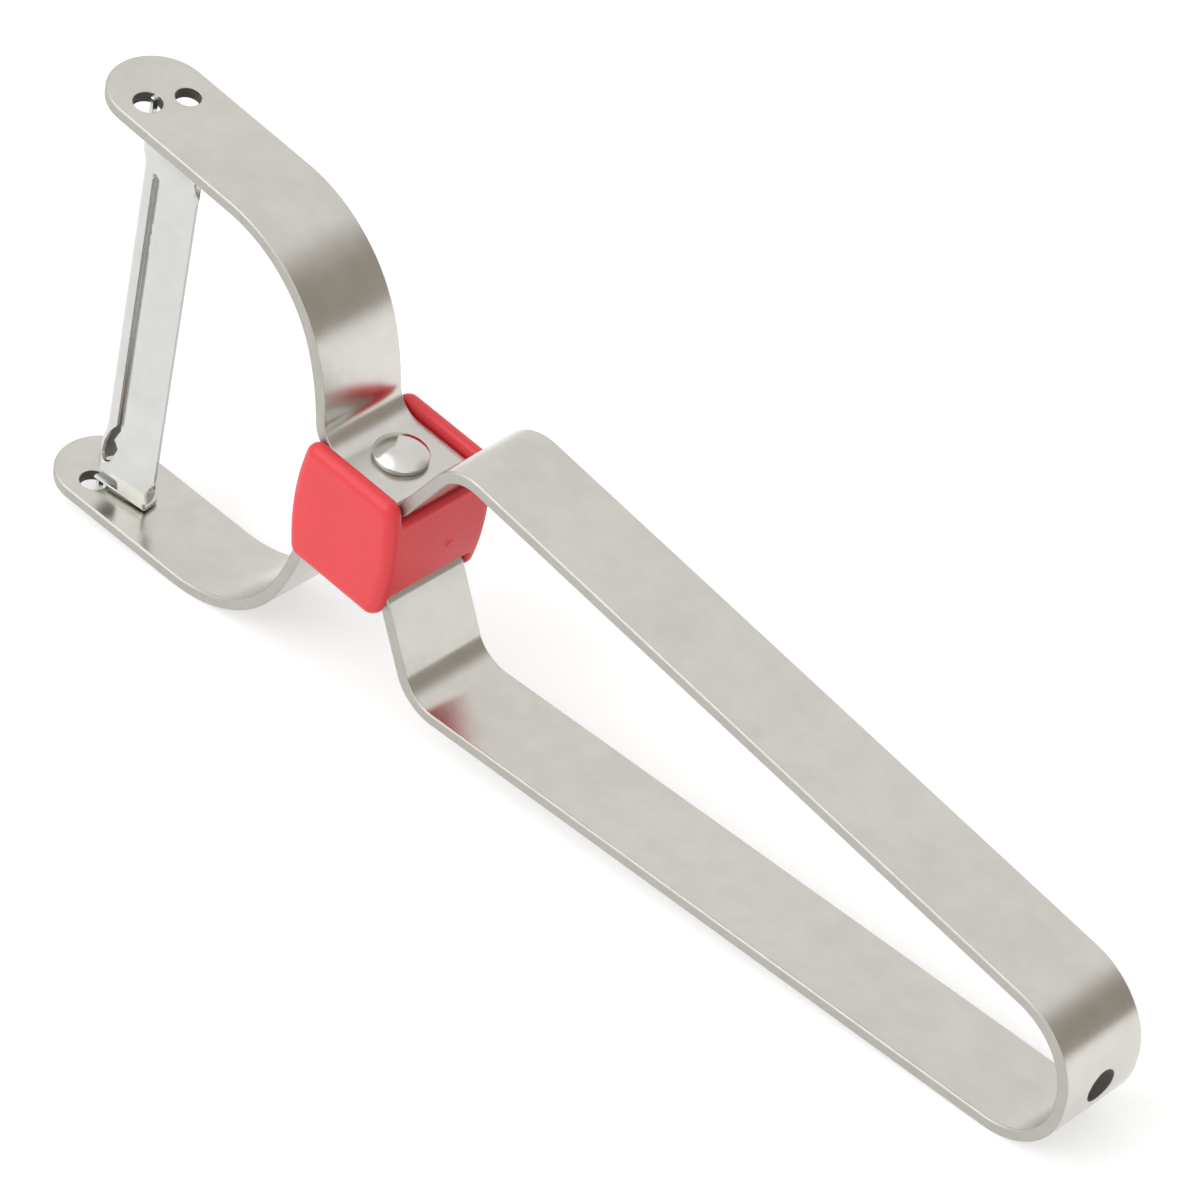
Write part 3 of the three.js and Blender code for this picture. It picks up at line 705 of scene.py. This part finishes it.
# ---------------------------------------------------------------- materials
class Mat:
    def __init__(self, name):
        self.m = bpy.data.materials.new(name)
        self.m.use_nodes = True
        self.t = self.m.node_tree
        self.t.nodes.clear()
        self.out = self.n("ShaderNodeOutputMaterial")
        self.p = self.n("ShaderNodeBsdfPrincipled")
        self.l(self.p, "BSDF", self.out, "Surface")

    def n(self, kind, **kw):
        node = self.t.nodes.new(kind)
        for k_, v_ in kw.items():
            setattr(node, k_, v_)
        return node

    def l(self, a_, ao, b_, bi):
        self.t.links.new(a_.outputs[ao], b_.inputs[bi])

    def coords(self, kind, scale=(1, 1, 1), rot=(0, 0, 0)):
        if kind == "UV":
            tc = self.n("ShaderNodeUVMap")
            tc.uv_map = "grain"
            o = "UV"
        else:
            tc = self.n("ShaderNodeTexCoord")
            o = "Object"
        mp = self.n("ShaderNodeMapping")
        mp.inputs["Scale"].default_value = scale
        mp.inputs["Rotation"].default_value = rot
        self.l(tc, o, mp, "Vector")
        return mp

    def noise(self, src, scale, detail=2.0, rough=0.5, dist=0.0):
        nz = self.n("ShaderNodeTexNoise")
        nz.inputs["Scale"].default_value = scale
        nz.inputs["Detail"].default_value = detail
        nz.inputs["Roughness"].default_value = rough
        nz.inputs["Distortion"].default_value = dist
        self.l(src, "Vector", nz, "Vector")
        return nz

    def ramp(self, src, out, stops):
        r = self.n("ShaderNodeValToRGB")
        el = r.color_ramp.elements
        while len(el) > 1:
            el.remove(el[-1])
        first = True
        for pos, col in stops:
            if first:
                el[0].position = pos
                el[0].color = col
                first = False
            else:
                e = el.new(pos)
                e.color = col
        self.l(src, out, r, "Fac")
        return r

    def math(self, op, a_, ao, b_=None, bo=None, val=None, clamp=False):
        m = self.n("ShaderNodeMath", operation=op, use_clamp=clamp)
        self.l(a_, ao, m, 0)
        if b_ is not None:
            self.l(b_, bo, m, 1)
        elif val is not None:
            m.inputs[1].default_value = val
        return m

    def mapr(self, src, out, f0, f1, t0, t1):
        m = self.n("ShaderNodeMapRange")
        m.inputs["From Min"].default_value = f0
        m.inputs["From Max"].default_value = f1
        m.inputs["To Min"].default_value = t0
        m.inputs["To Max"].default_value = t1
        self.l(src, out, m, "Value")
        return m

    def mix(self, fac, fo, c0, c1):
        m = self.n("ShaderNodeMix", data_type="RGBA")
        if isinstance(fac, (int, float)):
            m.inputs[0].default_value = fac
        else:
            self.l(fac, fo, m, 0)
        for sock, c in ((6, c0), (7, c1)):
            if isinstance(c, tuple) and len(c) == 2 and not isinstance(c[0], (int, float)):
                self.l(c[0], c[1], m, sock)
            else:
                m.inputs[sock].default_value = (*c[:3], 1)
        return m

    def bump(self, height, ho, strength, distance, normal=None):
        b = self.n("ShaderNodeBump")
        b.inputs["Strength"].default_value = strength
        b.inputs["Distance"].default_value = distance
        self.l(height, ho, b, "Height")
        if normal is not None:
            self.l(normal, "Normal", b, "Normal")
        return b


def steel(name, tint_a, tint_b, rough, rough_var, scratch, fine=1.0):
    m = Mat(name)
    m.p.inputs["Metallic"].default_value = 1.0
    obj = m.coords("OBJ")
    uv = m.coords("UV")
    cloud = m.noise(obj, 95.0, 3.0, 0.6, 0.4)
    blot = m.noise(obj, 310.0, 3.0, 0.55)
    cm = m.math("ADD", cloud, "Fac", blot, "Fac")
    cr = m.mapr(cm, "Value", 0.75, 1.25, 0.0, 1.0)
    col = m.mix(cr, "Result", tint_a, tint_b)
    # scratches: two sets of long thin streaks, one along the strip, one across the first at an angle
    su = m.coords("UV", (1.0, 26.0, 1.0), (0, 0, 0.10))
    sc1 = m.noise(su, 900.0, 3.0, 0.65)
    sv = m.coords("UV", (1.0, 22.0, 1.0), (0, 0, -0.75))
    sc2 = m.noise(sv, 700.0, 2.0, 0.6)
    sw = m.coords("UV", (1.0, 22.0, 1.0), (0, 0, 0.9))
    sc3 = m.noise(sw, 760.0, 2.0, 0.6)
    s12 = m.math("ADD", sc1, "Fac", sc2, "Fac")
    s123 = m.math("ADD", s12, "Value", sc3, "Fac")
    grain = m.noise(obj, 5200.0, 2.0, 0.6)
    streak = m.ramp(sc2, "Fac", [(0.0, (0, 0, 0, 1)), (0.66, (0, 0, 0, 1)), (0.72, (1, 1, 1, 1)), (1.0, (1, 1, 1, 1))])
    rr = m.mapr(s123, "Value", 1.1, 1.9, rough - rough_var, rough + rough_var)
    rb = m.mapr(cloud, "Fac", 0.3, 0.7, -rough_var * 0.6, rough_var * 0.6)
    rs = m.math("ADD", rr, "Result", rb, "Result")
    # the painted-shade mask (the "cut" attribute) also makes those places rougher
    shade_mask_r = m.n("ShaderNodeAttribute")
    shade_mask_r.attribute_name = "cut"
    shade_rough_add = m.math("MULTIPLY", shade_mask_r, "Fac", val=0.75)
    rt = m.math("ADD", rs, "Value", shade_rough_add, "Value", clamp=True)
    m.l(rt, "Value", m.p, "Roughness")
    dark = m.mix(streak, "Color", (col, "Result"), tuple(c * 0.93 for c in tint_a))
    colf = m.mix(scratch * 0.6, None, (col, "Result"), (dark, "Result"))
    # painted shade: the "cut" attribute darkens the colour toward near black (0.19, 0.18, 0.17)
    cut = m.n("ShaderNodeAttribute")
    cut.attribute_name = "cut"
    painted_shade_fac = m.math("MULTIPLY", cut, "Fac", val=1.0, clamp=True)
    painted_shade_col = m.mix(painted_shade_fac, "Value", (colf, "Result"), (0.19, 0.18, 0.17))
    m.l(painted_shade_col, "Result", m.p, "Base Color")
    b1 = m.bump(s123, "Value", 0.10 * scratch, 0.00006)
    b2 = m.bump(grain, "Fac", 0.09 * fine, 0.00004, b1)
    m.l(b2, "Normal", m.p, "Normal")
    return m.m


strip_mat = steel("strip_steel_fine", (0.615, 0.600, 0.562), (0.670, 0.652, 0.615), 0.20, 0.05, 1.0)
blade_mat = steel("blade_steel_fine", (0.59, 0.595, 0.58), (0.64, 0.645, 0.63), 0.20, 0.04, 0.5, 0.6)
rivet_mat = steel("rivet_steel_fine", (0.64, 0.63, 0.60), (0.72, 0.71, 0.68), 0.14, 0.05, 1.2, 0.8)


def plastic(name):
    m = Mat(name)
    obj = m.coords("OBJ")
    cloud = m.noise(obj, 130.0, 3.0, 0.6)
    cr = m.mapr(cloud, "Fac", 0.3, 0.7, 0.0, 1.0)
    col = m.mix(cr, "Result", (0.62, 0.024, 0.034), (0.68, 0.030, 0.041))
    m.l(col, "Result", m.p, "Base Color")
    fine = m.noise(obj, 2600.0, 3.0, 0.6)
    rr = m.mapr(fine, "Fac", 0.3, 0.7, 0.36, 0.48)
    m.l(rr, "Result", m.p, "Roughness")
    m.p.inputs["Specular IOR Level"].default_value = 0.55
    m.p.inputs["Subsurface Weight"].default_value = 0.12
    m.p.inputs["Subsurface Radius"].default_value = (0.0012, 0.0004, 0.0003)
    big = m.noise(obj, 420.0, 2.0, 0.5)
    b1 = m.bump(big, "Fac", 0.16, 0.0002)
    b2 = m.bump(fine, "Fac", 0.10, 0.00006, b1)
    m.l(b2, "Normal", m.p, "Normal")
    return m.m


block_mat = plastic("block_plastic_fine")
strip.data.materials.append(strip_mat)
block.data.materials.append(block_mat)
rivet.data.materials.append(rivet_mat)
blade.data.materials.append(blade_mat)

for piece, node, slot_name, body_name in (
    (strip, "frame_strip", "strip_steel", "frame"),
    (block, "spacer_block", "block_plastic", "frame"),
    (rivet, "rivet", "rivet_steel", "frame"),
    (blade, "blade", "blade_steel", "blade"),
):
    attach(piece, body_name)
    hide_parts(node)

# ---------------------------------------------------------------- floor, light
fm = Mat("floor_pale")
fobj = fm.coords("OBJ")
fn = fm.noise(fobj, 9.0, 2.0, 0.5)
fc = fm.mix(fn, "Fac", (0.54, 0.54, 0.54), (0.56, 0.56, 0.56))
fm.l(fc, "Result", fm.p, "Base Color")
fm.p.inputs["Roughness"].default_value = 0.9
fm.p.inputs["Specular IOR Level"].default_value = 0.1
# painted light: the floor glows, brightest near the object and fading from 0.17 m to 0.6 m out, which also fills in
# its shadows
fm.p.inputs["Emission Color"].default_value = (1, 1, 1, 1)
fpos = fm.n("ShaderNodeTexCoord")
flen = fm.n("ShaderNodeVectorMath", operation="LENGTH")
fm.l(fpos, "Object", flen, 0)
floor_glow = fm.mapr(flen, "Value", 0.17, 0.6, 0.49, 0.27)
fm.l(floor_glow, "Result", fm.p, "Emission Strength")
floor = make_mesh("floor", [(-6, -6, 0), (6, -6, 0), (6, 6, 0), (-6, 6, 0)], [(0, 1, 2, 3)], smooth=False)
floor.data.materials.append(fm.m)

world = bpy.data.worlds.new("studio")
scene.world = world
world.use_nodes = True
sky = world.node_tree
sky.nodes.clear()
w_out = sky.nodes.new("ShaderNodeOutputWorld")
w_bg = sky.nodes.new("ShaderNodeBackground")
w_tc = sky.nodes.new("ShaderNodeTexCoord")


def toward(az, el, r_in, r_out, prev, colour):
    """Lays a soft round patch of another colour on the sky, centred at az, el (degrees)."""
    dot = sky.nodes.new("ShaderNodeVectorMath")
    dot.operation = "DOT_PRODUCT"
    sky.links.new(w_tc.outputs["Generated"], dot.inputs[0])
    a_, e_ = math.radians(az), math.radians(el)
    dot.inputs[1].default_value = (math.cos(a_) * math.cos(e_), math.sin(a_) * math.cos(e_), math.sin(e_))
    mr = sky.nodes.new("ShaderNodeMapRange")
    mr.interpolation_type = "SMOOTHSTEP"
    mr.inputs["From Min"].default_value = math.cos(math.radians(r_out))
    mr.inputs["From Max"].default_value = math.cos(math.radians(r_in))
    sky.links.new(dot.outputs["Value"], mr.inputs["Value"])
    mx = sky.nodes.new("ShaderNodeMix")
    mx.data_type = "RGBA"
    sky.links.new(mr.outputs["Result"], mx.inputs[0])
    if isinstance(prev, tuple):
        mx.inputs[6].default_value = (*prev, 1)
    else:
        sky.links.new(prev.outputs[2], mx.inputs[6])
    mx.inputs[7].default_value = (*colour, 1)
    return mx


sky_col = toward(-85, 30, 15, 75, (0.93, 0.925, 0.915), (1.08, 1.08, 1.07))
sky_col = toward(-122, 48, 18, 42, sky_col, (2.1, 2.1, 2.07))
sky_col = toward(38, 6, 20, 50, sky_col, (0.40, 0.365, 0.32))
sky.links.new(sky_col.outputs[2], w_bg.inputs["Color"])
w_bg.inputs["Strength"].default_value = 1.0
sky.links.new(w_bg.outputs["Background"], w_out.inputs["Surface"])


def area_light(name, loc, target, size, radiance, color=(1, 1, 1)):
    ld = bpy.data.lights.new(name, "AREA")
    ld.shape = "DISK"
    ld.size = size
    ld.energy = radiance * math.pi * math.pi * (size / 2) ** 2
    ld.color = color
    lamp = bpy.data.objects.new(name, ld)
    scene.collection.objects.link(lamp)
    lamp.location = loc
    lamp.rotation_euler = (Vector(target) - Vector(loc)).to_track_quat("-Z", "Y").to_euler()
    return lamp


area_light("key", (-0.25, -0.85, 0.75), (0, 0, 0.03), 0.55, 1.2, (1.0, 0.995, 0.98))
